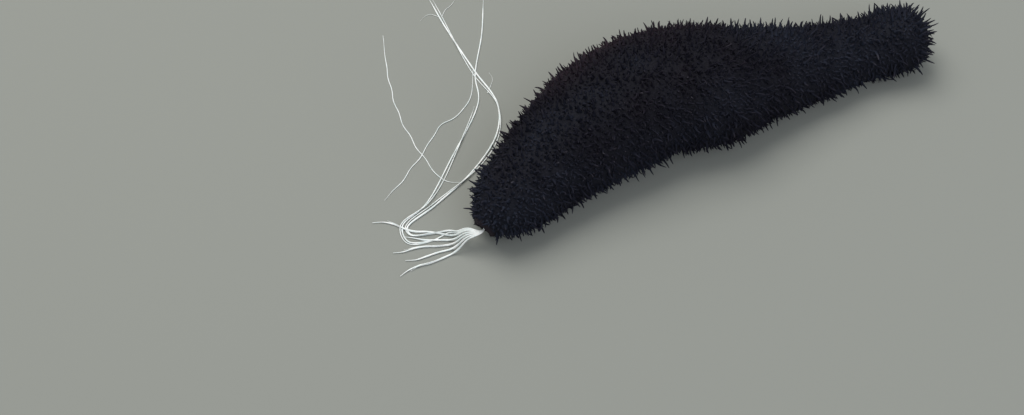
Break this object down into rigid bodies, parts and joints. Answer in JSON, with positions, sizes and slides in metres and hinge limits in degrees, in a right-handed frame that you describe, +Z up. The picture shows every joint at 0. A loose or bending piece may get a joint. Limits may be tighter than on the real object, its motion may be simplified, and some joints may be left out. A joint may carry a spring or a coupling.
{
  "type": "black sea cucumber model",
  "caption": "Life-size black sea cucumber lying in a shallow S, with pointed papillae over its back, tube feet under its sole and white sticky threads trailing from its vent.",
  "frame": {"origin": "on the floor, at the flat disc of the tube foot under the middle of the belly", "axes": "+X runs along the body from the vent at the tail end to the mouth at the head end, +Z is up"},
  "size_m": [0.3329, 0.1781, 0.0557],
  "materials": {
    "skin": "matte, finely wrinkled, near black",
    "rim": "matte, puckered, near black with a brown tint",
    "thread": "satin, slightly translucent white"
  },
  "bodies": {
    "root": {"vent": "rim", "tail_end": "skin", "hind_body": "skin", "mid_body": "skin", "fore_body": "skin", "neck": "skin", "head_end": "skin", "mouth": "rim", "sticky_threads": "thread"}
  },
  "joints": []
}
